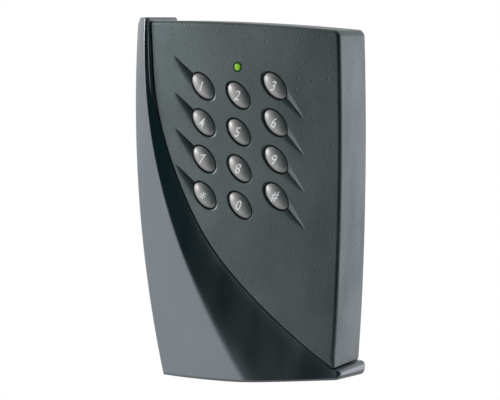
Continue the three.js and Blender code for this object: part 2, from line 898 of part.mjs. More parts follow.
// ---- Badge antenna: a flat wound coil on the board's front, below the keys ---
const coilTopZ =
  keyTopRowZ - 4 * keyRowPitch - middleColumnDrop - matMargin - coilUnderMat;
const coilLeftX = boardLeftX + coilFromBoardLeft;
const coilRightX = boardRightX - 2 * screwFromBoardEdge;
const coilBottomZ = boardBottomZ + coilFromBoardBottom;
const coilShape = roundedRectangle(
  coilLeftX,
  coilRightX,
  coilBottomZ,
  coilTopZ,
  coilCorner,
);
coilShape.holes.push(
  roundedRectangle(
    coilLeftX + coilBand,
    coilRightX - coilBand,
    coilBottomZ + coilBand,
    coilTopZ - coilBand,
    coilInnerCorner,
  ),
);
const coilRear = boardFrontHeight + seat;
addPiece("antenna_coil", slab(coilShape, coilRear, coilRear + coilThickness, 5), copper);

// ---- Parts on the rear of the board ---
const partsFront = boardRearHeight - seat;
const partsX = (boardLeftX + boardRightX) / 2;

function onBoard(name, [x, z, width, height, depth], material) {
  const box = blockAt(partsX + x, z, width, height, partsFront - depth, partsFront);
  addPiece(name, box, material);
}

onBoard("controller_chip", controllerChipPlace, chipBlack);
onBoard("reader_chip", readerChipPlace, chipBlack);
onBoard("crystal", crystalPlace, steel);
onBoard("relay", relayPlace, relayBlue);
const capacitor = peg(
  partsX + capacitorX,
  capacitorZ,
  capacitorRadius,
  partsFront - capacitorDepth,
  partsFront,
);
addPiece("storage_capacitor", capacitor, chipBlack);
const buzzerRear = partsFront - buzzerDepth;
const buzzerCase = peg(
  partsX + buzzerX,
  buzzerZ,
  buzzerRadius,
  buzzerRear,
  partsFront,
  fineSides,
);
const buzzerPort = peg(
  partsX + buzzerX,
  buzzerZ,
  buzzerPortRadius,
  buzzerRear - cutPast,
  buzzerRear + buzzerPortDepth,
  coarseSides,
);
addPiece("buzzer", buzzerCase.subtract(buzzerPort), chipBlack);

const terminalZ = boardBottomZ + terminalFromBoardBottom;
const terminalRear = partsFront - terminalDepth;
let terminals = blockAt(
  partsX + terminalBlockX,
  terminalZ,
  terminalPitch * terminalCount,
  terminalHeight,
  terminalRear,
  partsFront,
);
for (let i = 0; i < terminalCount; i++) {
  const x = partsX + terminalBlockX + (i - (terminalCount - 1) / 2) * terminalPitch;
  const mouth = blockAt(
    x,
    terminalZ - wireMouthDrop,
    wireMouthWidth,
    wireMouthHeight,
    partsFront - wireMouthRear,
    partsFront - wireMouthFront,
  );
  const clamp = peg(
    x,
    terminalZ + clampRise,
    clampRadius,
    terminalRear - cutPast,
    terminalRear + clampDepth,
    coarseSides,
  );
  terminals = terminals.subtract(mouth).subtract(clamp);
}
addPiece("terminal_block", terminals, terminalGreen);

// ---- Tamper switch: its plunger is held against a post on the back plate ---
const tamperBody = blockAt(
  tamperX,
  tamperZ,
  tamperSize,
  tamperSize,
  tamperBodyRear,
  partsFront,
);
const plungerBore = peg(
  tamperX,
  tamperZ,
  plungerRadius + seamGap,
  tamperBodyRear - cutPast,
  tamperBodyRear + plungerInside + plungerTravel + seamGap,
);
addPiece("tamper_switch", tamperBody.subtract(plungerBore), chipBlack);
addPiece(
  "tamper_plunger",
  peg(tamperX, tamperZ, plungerRadius, plungerTipHeight, tamperBodyRear + plungerInside),
  buttonWhite,
);

export default reader;
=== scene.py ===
import math

import bmesh
import bpy
from mathutils import Matrix, Vector


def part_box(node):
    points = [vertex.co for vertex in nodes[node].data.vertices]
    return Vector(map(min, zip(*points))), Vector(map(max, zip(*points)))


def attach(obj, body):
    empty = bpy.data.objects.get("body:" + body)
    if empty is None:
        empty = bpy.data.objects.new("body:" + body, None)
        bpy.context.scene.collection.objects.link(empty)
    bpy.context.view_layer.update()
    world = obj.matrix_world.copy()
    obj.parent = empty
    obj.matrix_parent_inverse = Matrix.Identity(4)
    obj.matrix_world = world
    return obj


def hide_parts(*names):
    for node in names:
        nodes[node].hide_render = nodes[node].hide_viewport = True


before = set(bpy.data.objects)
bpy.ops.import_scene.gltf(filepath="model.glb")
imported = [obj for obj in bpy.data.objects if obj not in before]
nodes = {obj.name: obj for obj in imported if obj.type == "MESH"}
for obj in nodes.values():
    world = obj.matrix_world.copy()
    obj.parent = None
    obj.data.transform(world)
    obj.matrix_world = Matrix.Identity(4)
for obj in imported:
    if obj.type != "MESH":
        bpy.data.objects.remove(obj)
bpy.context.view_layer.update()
MM = 0.001

# ---- Studio -------------------------------------------------------------
# A pale floor well below the reader, which hangs as on its wall. The light is
# a soft white tent, bright behind and to the left, and dim to the front right
# and overhead, with a large lamp at the left and a weaker one behind the right.
VIEW_YAW = math.radians(32)
VIEW_RISE = math.radians(3)
VIEW_ROLL = math.radians(0.84)
VIEW_DISTANCE = 1.2
LENS_LENGTH = 216
FRAME_WIDTH = 36
target = Vector((0, -9 * MM, 0))
back = Vector(
    (
        math.sin(VIEW_YAW) * math.cos(VIEW_RISE),
        -math.cos(VIEW_YAW) * math.cos(VIEW_RISE),
        math.sin(VIEW_RISE),
    )
)
level = Vector((math.cos(VIEW_YAW), math.sin(VIEW_YAW), 0))
upright = back.cross(level)
right = level * math.cos(VIEW_ROLL) - upright * math.sin(VIEW_ROLL)
up = upright * math.cos(VIEW_ROLL) + level * math.sin(VIEW_ROLL)
camera = bpy.data.objects.new("camera", bpy.data.cameras.new("camera"))
bpy.context.scene.collection.objects.link(camera)
camera.data.sensor_width = FRAME_WIDTH
camera.data.lens = LENS_LENGTH
camera.data.clip_start = 0.05
camera.data.clip_end = 60
camera.matrix_world = Matrix.Translation(target + back * VIEW_DISTANCE) @ Matrix(
    (right, up, back)
).transposed().to_4x4()
bpy.context.scene.camera = camera
bpy.context.scene.view_settings.view_transform = "Standard"

# The tent: dim round this direction, bright away from it, and dimmer overhead.
DIM_SIDE = Vector((0.5, -0.85, 0.12)).normalized()
TENT_WHITE = (1.0, 1.0, 1.0, 1)
TENT_DUSK = (0.014, 0.034, 0.035, 1)
TENT_DIM = (0.016, 0.052, 0.054, 1)
OVERHEAD_FROM = 0.15
OVERHEAD_TO = 0.9
OVERHEAD_LIGHT = 0.45
tent = bpy.data.worlds.new("tent")
bpy.context.scene.world = tent
tent.use_nodes = True
wires = tent.node_tree
wires.nodes.clear()
direction = wires.nodes.new("ShaderNodeTexCoord")
toward = wires.nodes.new("ShaderNodeVectorMath")
toward.operation = "DOT_PRODUCT"
toward.inputs[1].default_value = DIM_SIDE
wires.links.new(direction.outputs["Generated"], toward.inputs[0])
shade = wires.nodes.new("ShaderNodeValToRGB")
shade.color_ramp.interpolation = "EASE"
shade.color_ramp.elements[0].position = 0.2
shade.color_ramp.elements[0].color = TENT_WHITE
shade.color_ramp.elements[1].position = 1.0
shade.color_ramp.elements[1].color = TENT_DIM
middle = shade.color_ramp.elements.new(0.67)
middle.color = TENT_DUSK
wires.links.new(toward.outputs["Value"], shade.inputs[0])
glow = wires.nodes.new("ShaderNodeBackground")
wires.links.new(shade.outputs[0], glow.inputs["Color"])
parts = wires.nodes.new("ShaderNodeSeparateXYZ")
wires.links.new(direction.outputs["Generated"], parts.inputs[0])
overhead = wires.nodes.new("ShaderNodeMapRange")
overhead.inputs["From Min"].default_value = OVERHEAD_FROM
overhead.inputs["From Max"].default_value = OVERHEAD_TO
overhead.inputs["To Min"].default_value = 1.0
overhead.inputs["To Max"].default_value = OVERHEAD_LIGHT
wires.links.new(parts.outputs["Z"], overhead.inputs["Value"])
wires.links.new(overhead.outputs[0], glow.inputs["Strength"])
plain = wires.nodes.new("ShaderNodeBackground")
plain.inputs["Color"].default_value = TENT_WHITE
seen = wires.nodes.new("ShaderNodeLightPath")
choice = wires.nodes.new("ShaderNodeMixShader")
wires.links.new(seen.outputs["Is Camera Ray"], choice.inputs[0])
wires.links.new(glow.outputs[0], choice.inputs[1])
wires.links.new(plain.outputs[0], choice.inputs[2])
world_out = wires.nodes.new("ShaderNodeOutputWorld")
wires.links.new(choice.outputs[0], world_out.inputs["Surface"])


def lamp(name, place, size, watts, color=(1.0, 1.0, 1.0)):
    """A round lamp that faces the reader."""
    light = bpy.data.lights.new(name, "AREA")
    light.shape = "DISK"
    light.size = size
    light.energy = watts
    light.color = color
    obj = bpy.data.objects.new(name, light)
    bpy.context.scene.collection.objects.link(obj)
    obj.location = place
    obj.rotation_mode = "QUATERNION"
    obj.rotation_quaternion = (Vector(place) - target).to_track_quat("Z", "Y")


lamp("left_lamp", (-1.15, -0.55, 0.35), 0.5, 5)
lamp("right_lamp", (0.75, 1.15, -0.12), 0.8, 1.2, color=(1.0, 0.86, 0.97))

FLOOR_Z = -0.2
FLOOR_RADIUS = 0.32
bm = bmesh.new()
bmesh.ops.create_circle(bm, cap_ends=True, segments=96, radius=FLOOR_RADIUS)
bmesh.ops.translate(bm, verts=bm.verts, vec=(0, 0, FLOOR_Z))
floor_mesh = bpy.data.meshes.new("floor")
bm.to_mesh(floor_mesh)
bm.free()
floor = bpy.data.objects.new("floor", floor_mesh)
bpy.context.scene.collection.objects.link(floor)
paper = bpy.data.materials.new("floor_paper")
paper.use_nodes = True
paper_nodes = paper.node_tree.nodes
paper_grain = paper_nodes.new("ShaderNodeTexNoise")
paper_grain.inputs["Scale"].default_value = 3
paper_tone = paper_nodes.new("ShaderNodeValToRGB")
paper_tone.color_ramp.elements[0].color = (0.79, 0.79, 0.79, 1)
paper_tone.color_ramp.elements[1].color = (0.84, 0.84, 0.84, 1)
paper.node_tree.links.new(paper_grain.outputs["Fac"], paper_tone.inputs[0])
paper.node_tree.links.new(
    paper_tone.outputs[0], paper_nodes["Principled BSDF"].inputs["Base Color"]
)
paper_nodes["Principled BSDF"].inputs["Roughness"].default_value = 0.9
floor.data.materials.append(paper)

# ---- Back plate ---------------------------------------------------------
# The plate that is screwed to the wall. Black ABS, injection moulded, with a
# fine spark-eroded grain. It hangs the covers on two hooks at its top edge.
NOISE_LOW, NOISE_HIGH = 0.3, 0.7
PIT_RADIUS, PIT_RIM = 0.06, 0.16
# How much each pit's colour is darkened: painted shade in the pits.
PIT_PAINTED_SHADE = 0.9
PIT_DEPTH = 1.6
SCUFF_SHARE = 0.35
SCUFF_STRETCH = (1, 1, 0.25)
SCUFF_GLOSS, SCUFF_DULL = 0.05, 0.08


def mottled(name, deep, pale, patch, grain, rough, bump, metallic=0.0, pit_spacing=None):
    """A moulded or painted finish: slow patches of tone, a fine grain, scuffs
    that change its gloss and, if asked for, sparse pits, sunk in the bump and
    darkened with painted shade. Lengths in millimetres."""
    made = bpy.data.materials.new(name)
    made.use_nodes = True
    tree = made.node_tree
    skin = tree.nodes["Principled BSDF"]
    skin.inputs["Metallic"].default_value = metallic
    where = tree.nodes.new("ShaderNodeTexCoord")

    def noise(size, detail, stretch=(1, 1, 1)):
        spread = tree.nodes.new("ShaderNodeMapping")
        spread.inputs["Scale"].default_value = stretch
        tree.links.new(where.outputs["Object"], spread.inputs["Vector"])
        cloud = tree.nodes.new("ShaderNodeTexNoise")
        cloud.inputs["Scale"].default_value = 1 / (size * MM)
        cloud.inputs["Detail"].default_value = detail
        tree.links.new(spread.outputs[0], cloud.inputs["Vector"])
        return cloud.outputs["Fac"]

    def ranged(source, low, high, to_low, to_high):
        span = tree.nodes.new("ShaderNodeMapRange")
        span.inputs["From Min"].default_value = low
        span.inputs["From Max"].default_value = high
        span.inputs["To Min"].default_value = to_low
        span.inputs["To Max"].default_value = to_high
        tree.links.new(source, span.inputs["Value"])
        return span.outputs[0]

    def summed(first, second, way="ADD"):
        total = tree.nodes.new("ShaderNodeMath")
        total.operation = way
        for source, socket in ((first, total.inputs[0]), (second, total.inputs[1])):
            if isinstance(source, (int, float)):
                socket.default_value = source
            else:
                tree.links.new(source, socket)
        return total.outputs[0]

    fine = noise(grain, 2)
    slow = noise(patch, 4)
    tone = tree.nodes.new("ShaderNodeMix")
    tone.data_type = "RGBA"
    tone.inputs["A"].default_value = (*deep, 1)
    tone.inputs["B"].default_value = (*pale, 1)
    slow_share = ranged(slow, NOISE_LOW, NOISE_HIGH, 0, 0.7)
    fine_share = ranged(fine, NOISE_LOW, NOISE_HIGH, -0.15, 0.45)
    blend = summed(slow_share, fine_share)
    height = ranged(fine, 0.25, 0.75, 0, 1)
    if pit_spacing:
        pits = tree.nodes.new("ShaderNodeTexVoronoi")
        pits.inputs["Scale"].default_value = 1 / (pit_spacing * MM)
        tree.links.new(where.outputs["Object"], pits.inputs["Vector"])
        # The pits sink the bump, and their colour is darkened as painted shade.
        hole = ranged(pits.outputs["Distance"], PIT_RADIUS, PIT_RIM, 1, 0)
        blend = summed(blend, summed(hole, PIT_PAINTED_SHADE, "MULTIPLY"), "SUBTRACT")
        height = summed(height, summed(hole, PIT_DEPTH, "MULTIPLY"), "SUBTRACT")
    tree.links.new(blend, tone.inputs["Factor"])
    tree.links.new(tone.outputs["Result"], skin.inputs["Base Color"])
    scuffs = noise(patch * SCUFF_SHARE, 5, SCUFF_STRETCH)
    gloss = ranged(scuffs, NOISE_LOW, NOISE_HIGH, rough - SCUFF_GLOSS, rough + SCUFF_DULL)
    tree.links.new(gloss, skin.inputs["Roughness"])
    relief = tree.nodes.new("ShaderNodeBump")
    relief.inputs["Strength"].default_value = 1.0
    relief.inputs["Distance"].default_value = bump * MM
    tree.links.new(height, relief.inputs["Height"])
    tree.links.new(relief.outputs[0], skin.inputs["Normal"])
    return made


def dress(node, material):
    """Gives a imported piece, kept as it is, its finish."""
    slots = nodes[node].data.materials
    slots.clear()
    slots.append(material)


plate_black = mottled(
    "plate_black", (0.012, 0.013, 0.014), (0.03, 0.032, 0.034), 9, 0.45, 0.55, 0.03
)
dress("back_plate", plate_black)

# ---- Cable grommet ------------------------------------------------------
# A black rubber ring, moulded in one and pressed into the plate's cable hole
# from the front. It keeps the hole's edge off the cable.
rubber_black = mottled(
    "rubber_black", (0.008, 0.008, 0.008), (0.022, 0.022, 0.022), 4, 0.2, 0.8, 0.02
)
dress("cable_grommet", rubber_black)

# ---- Circuit board and its parts ---------------------------------------
# A glass-fibre board with green solder resist, with a chip set, a relay, a
# buzzer and a terminal block on its rear. Each part is soldered on.
board_green = mottled(
    "board_green", (0.006, 0.06, 0.025), (0.02, 0.16, 0.07), 5, 0.35, 0.4, 0.01
)
chip_black = mottled(
    "chip_black", (0.01, 0.01, 0.011), (0.03, 0.03, 0.032), 3, 0.12, 0.5, 0.006
)
relay_blue = mottled(
    "relay_blue", (0.012, 0.06, 0.22), (0.025, 0.11, 0.36), 6, 0.3, 0.35, 0.005
)
terminal_green = mottled(
    "terminal_green", (0.01, 0.16, 0.05), (0.03, 0.28, 0.1), 4, 0.3, 0.5, 0.008
)
can_steel = mottled(
    "can_steel", (0.42, 0.42, 0.43), (0.62, 0.62, 0.63), 3, 0.15, 0.3, 0.004, metallic=1.0
)
coil_copper = mottled(
    "coil_copper", (0.3, 0.09, 0.03), (0.55, 0.2, 0.08), 3, 0.2, 0.35, 0.02, metallic=0.9
)
dress("circuit_board", board_green)
for node in ("controller_chip", "reader_chip", "storage_capacitor", "buzzer", "tamper_switch"):
    dress(node, chip_black)
dress("relay", relay_blue)
dress("terminal_block", terminal_green)
dress("crystal", can_steel)
dress("antenna_coil", coil_copper)
button_white = mottled(
    "button_white", (0.6, 0.6, 0.57), (0.76, 0.76, 0.74), 3, 0.2, 0.5, 0.005
)
dress("tamper_plunger", button_white)

# ---- Screws -------------------------------------------------------------
# Zinc-plated steel screws: four hold the board, three join the two covers
# from behind, and one from below locks the covers to the plate.
screw_steel = mottled(
    "screw_steel", (0.38, 0.37, 0.35), (0.6, 0.59, 0.56), 2, 0.1, 0.35, 0.006, metallic=1.0
)
for node in nodes:
    if "screw" in node:
        dress(node, screw_steel)

# ---- Key mat ------------------------------------------------------------
# One sheet of grey translucent silicone, moulded with a pad behind each key.
# It lies on the front of the board.
mat_silicone = mottled(
    "mat_silicone", (0.42, 0.44, 0.42), (0.6, 0.62, 0.6), 7, 0.4, 0.6, 0.01
)
dress("keypad_mat", mat_silicone)

# ---- Status light -------------------------------------------------------
# A green lamp on the board shines into a clear green light guide, which is
# held behind the keypad cover and stands a little proud of it.
led_green = bpy.data.materials.new("led_green")
led_green.use_nodes = True
led_tree = led_green.node_tree
led_skin = led_tree.nodes["Principled BSDF"]
led_place = led_tree.nodes.new("ShaderNodeTexCoord")
led_cloud = led_tree.nodes.new("ShaderNodeTexNoise")
led_cloud.inputs["Scale"].default_value = 1 / (0.8 * MM)
led_tree.links.new(led_place.outputs["Object"], led_cloud.inputs["Vector"])
led_tone = led_tree.nodes.new("ShaderNodeValToRGB")
led_tone.color_ramp.elements[0].color = (0.12, 0.5, 0.02, 1)
led_tone.color_ramp.elements[1].color = (0.25, 0.75, 0.05, 1)
led_tree.links.new(led_cloud.outputs["Fac"], led_tone.inputs[0])
led_tree.links.new(led_tone.outputs[0], led_skin.inputs["Base Color"])
led_tree.links.new(led_tone.outputs[0], led_skin.inputs["Emission Color"])
led_skin.inputs["Emission Strength"].default_value = 2.0
led_skin.inputs["Roughness"].default_value = 0.3
dress("status_led", led_green)


def lathe(profile, turns=64):
    """Spins (radius, height off the wall) stops in millimetres round y."""
    made = bmesh.new()
    stops = [made.verts.new((r * MM, -h * MM, 0)) for r, h in profile]
    lines = [made.edges.new(pair) for pair in zip(stops, stops[1:])]
    bmesh.ops.spin(
        made,
        geom=stops + lines,
        cent=(0, 0, 0),
        axis=(0, 1, 0),
        angle=2 * math.pi,
        steps=turns,
        use_merge=True,
    )
    bmesh.ops.remove_doubles(made, verts=made.verts, dist=0.0005 * MM)
    bmesh.ops.recalc_face_normals(made, faces=made.faces)
    return made


def piece(made, name, material, smooth=30):
    """Turns a finished mesh into a piece, smooth except over sharp edges."""
    mesh = bpy.data.meshes.new(name)
    made.to_mesh(mesh)
    made.free()
    mesh.materials.append(material)
    mesh.shade_smooth()
    mesh.set_sharp_from_angle(angle=math.radians(smooth))
    obj = bpy.data.objects.new(name, mesh)
    bpy.context.scene.collection.objects.link(obj)
    return obj


# The light guide has two tones in one piece: a lit core, darker round its rim.
LENS_X = 2.75
LENS_Z = 53.3
LENS_RADIUS = 1.9
LENS_CORE = 0.95
LENS_CORE_END = 1.55
lens_low, lens_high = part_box("led_lens")
lens_front = -lens_low.y / MM
lens_rear = -lens_high.y / MM
lens_clear = bpy.data.materials.new("lens_green")
lens_clear.use_nodes = True
lens_tree = lens_clear.node_tree
lens_skin = lens_tree.nodes["Principled BSDF"]
lens_place = lens_tree.nodes.new("ShaderNodeTexCoord")
lens_middle = lens_tree.nodes.new("ShaderNodeMapping")
lens_middle.inputs["Location"].default_value = (-LENS_X * MM, 0, -LENS_Z * MM)
lens_middle.inputs["Scale"].default_value = (1, 0, 1)
lens_tree.links.new(lens_place.outputs["Object"], lens_middle.inputs["Vector"])
lens_reach = lens_tree.nodes.new("ShaderNodeVectorMath")
lens_reach.operation = "LENGTH"
lens_tree.links.new(lens_middle.outputs[0], lens_reach.inputs[0])
lens_core = lens_tree.nodes.new("ShaderNodeMapRange")
lens_core.inputs["From Min"].default_value = LENS_CORE * MM
lens_core.inputs["From Max"].default_value = LENS_CORE_END * MM
lens_core.inputs["To Min"].default_value = 1
lens_core.inputs["To Max"].default_value = 0
lens_tree.links.new(lens_reach.outputs["Value"], lens_core.inputs["Value"])
lens_tone = lens_tree.nodes.new("ShaderNodeMix")
lens_tone.data_type = "RGBA"
lens_tone.inputs["A"].default_value = (0.015, 0.09, 0.008, 1)
lens_tone.inputs["B"].default_value = (0.3, 0.62, 0.05, 1)
lens_tree.links.new(lens_core.outputs[0], lens_tone.inputs["Factor"])
lens_tree.links.new(lens_tone.outputs["Result"], lens_skin.inputs["Base Color"])
lens_glow = lens_tree.nodes.new("ShaderNodeMix")
lens_glow.data_type = "RGBA"
lens_glow.inputs["A"].default_value = (0.006, 0.05, 0.003, 1)
lens_glow.inputs["B"].default_value = (0.24, 0.5, 0.03, 1)
lens_tree.links.new(lens_core.outputs[0], lens_glow.inputs["Factor"])
lens_tree.links.new(lens_glow.outputs["Result"], lens_skin.inputs["Emission Color"])
lens_skin.inputs["Emission Strength"].default_value = 0.45
lens_skin.inputs["Roughness"].default_value = 0.15
bm = lathe(
    [(0, lens_front)]
    + [(0.9, lens_front - 0.05), (1.35, lens_front - 0.18)]
    + [(1.7, lens_front - 0.42), (LENS_RADIUS, lens_front - 0.75)]
    + [(LENS_RADIUS, lens_rear), (0, lens_rear)],
    48,
)
bmesh.ops.translate(bm, verts=bm.verts, vec=(LENS_X * MM, 0, LENS_Z * MM))
lens = piece(bm, "lens", lens_clear)
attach(lens, "housing")
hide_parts("led_lens")

# ---- Keys ---------------------------------------------------------------
# Twelve oval caps, moulded in ABS and painted satin silver, that rest on the
# mat's pads and show through the cover. Each has its own numeral, raised a
# little and white, with a faint painted glow. A flange behind the cover keeps a cap in.
COLUMN_PITCH = 16.8
ROW_PITCH = 14.5
MIDDLE_X = 2.75
TOP_ROW_Z = 45.8
MIDDLE_DROP = 3.7
KEY_HALF_LENGTH = 6.4
KEY_HALF_WIDTH = 3.7
KEY_TURN = math.radians(45)
KEY_DOME = 1.5
DOME_ROUND, DOME_SHOULDER = 0.52, 0.48
DOME_RINGS = 14
FLANGE_THICKNESS = 1.1
FLANGE_SHARE = 1.25
KEY_MARKS = "123456789*0#"
KEY_NAMES = ["1", "2", "3", "4", "5", "6", "7", "8", "9", "star", "0", "hash"]
keys = []
for i, name in enumerate(KEY_NAMES):
    side = i % 3 - 1
    drop = MIDDLE_DROP if side == 0 else 0
    key_x = MIDDLE_X + side * COLUMN_PITCH
    key_z = TOP_ROW_Z - (i // 3) * ROW_PITCH - drop
    keys.append(("key_" + name, KEY_MARKS[i], side, key_x, key_z))

key_satin = mottled(
    "key_satin", (0.43, 0.425, 0.42), (0.51, 0.505, 0.5), 6, 0.12, 0.42, 0.003, metallic=0.5
)
numeral_painted_glow = mottled(
    "numeral_painted_glow", (0.82, 0.83, 0.85), (0.9, 0.91, 0.92), 1.2, 0.1, 0.35, 0.003
)
numeral_skin = numeral_painted_glow.node_tree.nodes["Principled BSDF"]
# Painted glow: the white numerals emit a faint light of their own, though nothing lights them.
numeral_skin.inputs["Emission Color"].default_value = (0.9, 0.92, 0.95, 1)
numeral_skin.inputs["Emission Strength"].default_value = 0.3


def dome_height(share, crown):
    """Height of a cap's top over a share of its radius."""
    return crown - KEY_DOME * (DOME_ROUND * share**2 + DOME_SHOULDER * share**5)


def onto_key(made, x, z, gap=0):
    """Squeezes a round lathed shape of radius 1 mm to a key's oval, in place,
    with a gap round it if asked for."""
    oval = (KEY_HALF_LENGTH + gap, 1, KEY_HALF_WIDTH + gap)
    bmesh.ops.scale(made, verts=made.verts, vec=oval)
    turn = Matrix.Rotation(KEY_TURN, 3, "Y")
    bmesh.ops.rotate(made, verts=made.verts, cent=(0, 0, 0), matrix=turn)
    bmesh.ops.translate(made, verts=made.verts, vec=(x * MM, 0, z * MM))


def cap_shape(x, z, crown, rear):
    """A domed cap with a soft shoulder, and the flange behind the cover."""
    flange = rear + FLANGE_THICKNESS
    shares = [ring / DOME_RINGS for ring in range(1, DOME_RINGS)]
    rim = dome_height(shares[-1], crown)
    stops = [(0, crown)] + [(share, dome_height(share, crown)) for share in shares]
    stops += [(0.965, rim - 0.16), (0.99, rim - 0.42), (1, rim - 0.75), (1, flange)]
    stops += [(FLANGE_SHARE, flange), (FLANGE_SHARE, rear), (0, rear)]
    made = lathe(stops, 72)
    onto_key(made, x, z)
    return made


FIGURE_SIZE = 5.4
STAR_SIZE = 6.5
FIGURE_SLANT = 0.35
FIGURE_WEIGHT = 0.02
FIGURE_SLICE = 0.3
FIGURE_SLICES = 8
FIGURE_THICKNESS = 0.16
FIGURE_SUNK = 0.1


def flat_figure(mark):
    """A slanted figure as a flat mesh, centred and sliced finely enough to bend."""
    text = bpy.data.curves.new("mark", "FONT")
    text.body = mark
    text.size = STAR_SIZE if mark == "*" else FIGURE_SIZE
    text.shear = FIGURE_SLANT
    text.offset = FIGURE_WEIGHT
    text.align_x = "CENTER"
    text.resolution_u = 4
    holder = bpy.data.objects.new("mark", text)
    bpy.context.scene.collection.objects.link(holder)
    bpy.context.view_layer.update()
    flat = bpy.data.meshes.new_from_object(holder)
    bpy.data.objects.remove(holder)
    made = bmesh.new()
    made.from_mesh(flat)
    bpy.data.meshes.remove(flat)
    across = [v.co.x for v in made.verts]
    tall = [v.co.y for v in made.verts]
    centre = Vector(((min(across) + max(across)) / 2, (min(tall) + max(tall)) / 2, 0))
    bmesh.ops.translate(made, verts=made.verts, vec=-centre)
    for slice_number in range(-FIGURE_SLICES, FIGURE_SLICES + 1):
        for along in (Vector((1, 0, 0)), Vector((0, 1, 0))):
            bmesh.ops.bisect_plane(
                made,
                geom=made.verts[:] + made.edges[:] + made.faces[:],
                plane_co=along * slice_number * FIGURE_SLICE,
                plane_no=along,
            )
    return made


def figure_shape(mark, x, z, crown):
    """A figure of even thickness, bent over its cap's dome."""
    made = flat_figure(mark)
    raised = bmesh.ops.extrude_face_region(made, geom=made.faces[:])
    top = [v for v in raised["geom"] if isinstance(v, bmesh.types.BMVert)]
    bmesh.ops.translate(made, verts=top, vec=(0, 0, FIGURE_THICKNESS))
    for v in made.verts:
        px, pz = v.co.x, v.co.y
        long_way = (px - pz) * math.sqrt(0.5) / KEY_HALF_LENGTH
        short_way = (px + pz) * math.sqrt(0.5) / KEY_HALF_WIDTH
        share = min(math.hypot(long_way, short_way), 1)
        h = dome_height(share, crown) - FIGURE_SUNK + v.co.z
        v.co = Vector(((x + px) * MM, -h * MM, (z + pz) * MM))
    bmesh.ops.recalc_face_normals(made, faces=made.faces)
    return made


for node, mark, side, x, z in keys:
    low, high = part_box(node)
    crown, rear = -low.y / MM, -high.y / MM
    cap = piece(cap_shape(x, z, crown, rear), node + "_cap", key_satin)
    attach(cap, node)
    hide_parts(node)

    figure = figure_shape(mark, x, z, crown)
    numeral = piece(figure, "numeral_" + node.removeprefix("key_"), numeral_painted_glow)
    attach(numeral, node)

# ---- Keypad cover -------------------------------------------------------
# The right-hand cover: slate ABS with a spark-eroded texture, with twelve oval
# holes and a leaf-shaped hollow beside each outer key. It is moulded in one,
# and its left edge runs along the foot of the wing cover's cove.
HALF_WIDTH = 97.8 / 2
HALF_HEIGHT = 144.8 / 2
SIDE_MIDDLE, SIDE_RADIUS = 45, 1230
TOP_MIDDLE, BOTTOM_MIDDLE, END_RADIUS = -55, -35, 1000
WALL = 2.6
SEAM = 0.3
OFF_WALL = 0.3
FOOT_SHARES = [
    (-1.04, 1.25), (-0.886, 0.872), (-0.62, 0.335), (-0.275, -0.2),
    (0.138, -0.562), (0.551, -0.76), (0.964, -0.8),
]


def mix(a, b, t):
    return a + (b - a) * t


def side_x(z):
    return HALF_WIDTH - (z - SIDE_MIDDLE) ** 2 / (2 * SIDE_RADIUS)


def top_z(x):
    return HALF_HEIGHT - (x - TOP_MIDDLE) ** 2 / (2 * END_RADIUS)


def bottom_z(x):
    return -HALF_HEIGHT + (x - BOTTOM_MIDDLE) ** 2 / (2 * END_RADIUS)


def foot_x(z):
    """The foot of the cove: a cubic through the points of FOOT_SHARES."""
    stops = [(a * HALF_HEIGHT, b * HALF_WIDTH) for a, b in FOOT_SHARES]
    if z <= stops[0][0]:
        return stops[0][1]
    if z >= stops[-1][0]:
        return stops[-1][1]
    i = next(n for n in range(1, len(stops)) if z <= stops[n][0])
    (t0, v0), (t1, v1) = stops[i - 1], stops[i]
    before = stops[i - 2] if i > 1 else stops[i]
    after = stops[i + 1] if i + 1 < len(stops) else stops[i - 1]
    half = (t1 - t0) / 2
    wp, wn = half / (t0 - before[0]), half / (after[0] - t1)
    p = (z - t0) / (t1 - t0)
    return (
        (-wp * p**3 + 2 * wp * p**2 - wp * p) * before[1]
        + ((1 + wp) * p**3 + (-1.5 - 2 * wp) * p**2 + (-0.5 + wp) * p + 1) * v0
        + ((-1 - wn) * p**3 + (1.5 + wn) * p**2 + 0.5 * p) * v1
        + (wn * p**3 - wn * p**2) * after[1]
    )


RIDGE_INSET = 7.8
RIDGE_MIDDLE, RIDGE_RADIUS = 62, 191
RIDGE_AT_BOTTOM, RIDGE_AT_TOP = 25.6, 21.6
FACE_HEIGHT = 21.2
FACE_MIDDLE, FACE_RADIUS = 4, 700


def ridge_x(z):
    return RIDGE_INSET - HALF_WIDTH + (z - RIDGE_MIDDLE) ** 2 / (2 * RIDGE_RADIUS)


def ridge_height(z):
    return mix(RIDGE_AT_BOTTOM, RIDGE_AT_TOP, (z + HALF_HEIGHT) / (2 * HALF_HEIGHT))


def face_height(x):
    return FACE_HEIGHT - (x - FACE_MIDDLE) ** 2 / (2 * FACE_RADIUS)


def ease(value, low, high):
    t = min(max((value - low) / (high - low), 0), 1)
    return t * t * (3 - 2 * t)


LEFT_EDGE_HEIGHT = 18.3
LEFT_EDGE_FALL = 9.08
LEFT_EDGE_MIDDLE = 20
BELLY = 0.14


def wing_height(x, z):
    """The wing's belly, from its left edge over to the ridge and beyond."""
    along = (z - LEFT_EDGE_MIDDLE) / (HALF_HEIGHT + LEFT_EDGE_MIDDLE)
    edge = LEFT_EDGE_HEIGHT - LEFT_EDGE_FALL * along**2
    side, ridge = side_x(z), ridge_x(z)
    share = (x + side) / (ridge + side)
    return mix(edge, ridge_height(z), share + BELLY * share * (1 - share))


COVE_POWER = 1.35
FIRST_STEP, FIRST_STEP_TO = 0.55, 0.45
LAST_STEP, LAST_STEP_FROM = 0.45, 0.66
STEPPED_FROM, STEPPED_ABOVE = 20, 50


